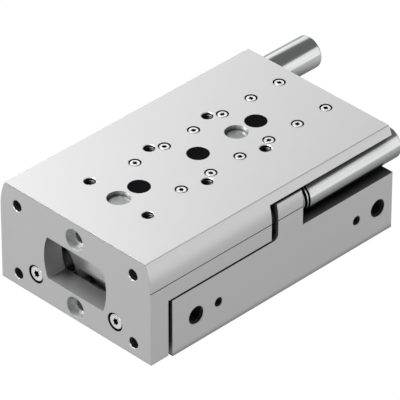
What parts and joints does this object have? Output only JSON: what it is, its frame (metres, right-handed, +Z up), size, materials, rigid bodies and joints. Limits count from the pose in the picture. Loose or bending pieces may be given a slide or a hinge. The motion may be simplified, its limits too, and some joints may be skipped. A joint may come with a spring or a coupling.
{
  "type": "pneumatic slide table",
  "caption": "Compact pneumatic slide: a flat table with a front plate on ball guides, pushed by two cylinders in a block housing, with shock absorbers as end stops.",
  "frame": {"origin": "on the base plane, on the axis of the middle mounting hole", "axes": "+X to the side with the ports, +Y to the rear, along the stroke, +Z up through the table"},
  "size_m": [0.1038, 0.205, 0.0593],
  "materials": {
    "anodised_aluminium": "fine ground, natural anodised, satin",
    "chromed_steel": "ground and polished",
    "ground_steel": "hardened and ground",
    "plated_screws": "zinc plated",
    "dark_steel": "blackened",
    "turned_aluminium": "turned, natural anodised",
    "black_plastic": "moulded, matt",
    "cage_plastic": "moulded, natural",
    "bush_bronze": "sintered",
    "seal_rubber": "matt",
    "magnet_plastic": "plastic bonded"
  },
  "bodies": {
    "housing_unit": {"housing": "anodised_aluminium", "left_outer_race": "ground_steel", "right_outer_race": "ground_steel", "outer_race_screws": "plated_screws", "cage_stop_screws": "plated_screws", "left_bearing_cap": "turned_aluminium", "right_bearing_cap": "turned_aluminium", "rod_bushes": "bush_bronze", "rod_seals": "seal_rubber", "cylinder_o_rings": "seal_rubber", "front_retaining_rings": "dark_steel", "rear_retaining_rings": "dark_steel", "left_end_cap": "turned_aluminium", "right_end_cap": "turned_aluminium", "right_absorber_barrel": "chromed_steel", "right_absorber_sleeve": "dark_steel", "right_absorber_lock_nut": "dark_steel", "right_absorber_end_plug": "dark_steel"},
    "table_unit": {"slide_table": "anodised_aluminium", "left_guide_rail": "ground_steel", "right_guide_rail": "ground_steel", "left_rail_screws": "plated_screws", "right_rail_screws": "plated_screws", "access_hole_plugs": "black_plastic", "left_piston_rod": "chromed_steel", "right_piston_rod": "chromed_steel", "left_piston": "turned_aluminium", "right_piston": "turned_aluminium", "piston_seals": "seal_rubber", "piston_magnets": "magnet_plastic", "left_rod_screw": "plated_screws", "right_rod_screw": "plated_screws", "left_absorber_barrel": "chromed_steel", "left_absorber_sleeve": "dark_steel", "left_absorber_lock_nut": "dark_steel", "left_absorber_end_plug": "dark_steel"},
    "right_plunger_unit": {"right_absorber_plunger": "ground_steel"},
    "left_plunger_unit": {"left_absorber_plunger": "ground_steel"},
    "left_cage_unit": {"left_ball_cage": "cage_plastic", "left_cage_balls": "ground_steel"},
    "right_cage_unit": {"right_ball_cage": "cage_plastic", "right_cage_balls": "ground_steel"}
  },
  "joints": [
    {"name": "table_slide", "type": "slide", "parent": "housing_unit", "child": "table_unit", "axis": [0, -1, 0], "range_m": [0, 0.08]},
    {"name": "right_plunger_slide", "type": "slide", "parent": "housing_unit", "child": "right_plunger_unit", "axis": [0, -1, 0], "range_m": [0, 0.012]},
    {"name": "left_plunger_slide", "type": "slide", "parent": "table_unit", "child": "left_plunger_unit", "axis": [0, 1, 0], "range_m": [0, 0.012]},
    {"name": "left_cage_slide", "type": "slide", "parent": "housing_unit", "child": "left_cage_unit", "axis": [0, -1, 0], "range_m": [0, 0.04]},
    {"name": "right_cage_slide", "type": "slide", "parent": "housing_unit", "child": "right_cage_unit", "axis": [0, -1, 0], "range_m": [0, 0.04]}
  ],
  "couplings": [
    {"joint": "right_plunger_slide", "follows": "table_slide", "ratio": 0.15},
    {"joint": "left_plunger_slide", "follows": "table_slide", "ratio": 0.15},
    {"joint": "left_cage_slide", "follows": "table_slide", "ratio": 0.5},
    {"joint": "right_cage_slide", "follows": "table_slide", "ratio": 0.5}
  ]
}
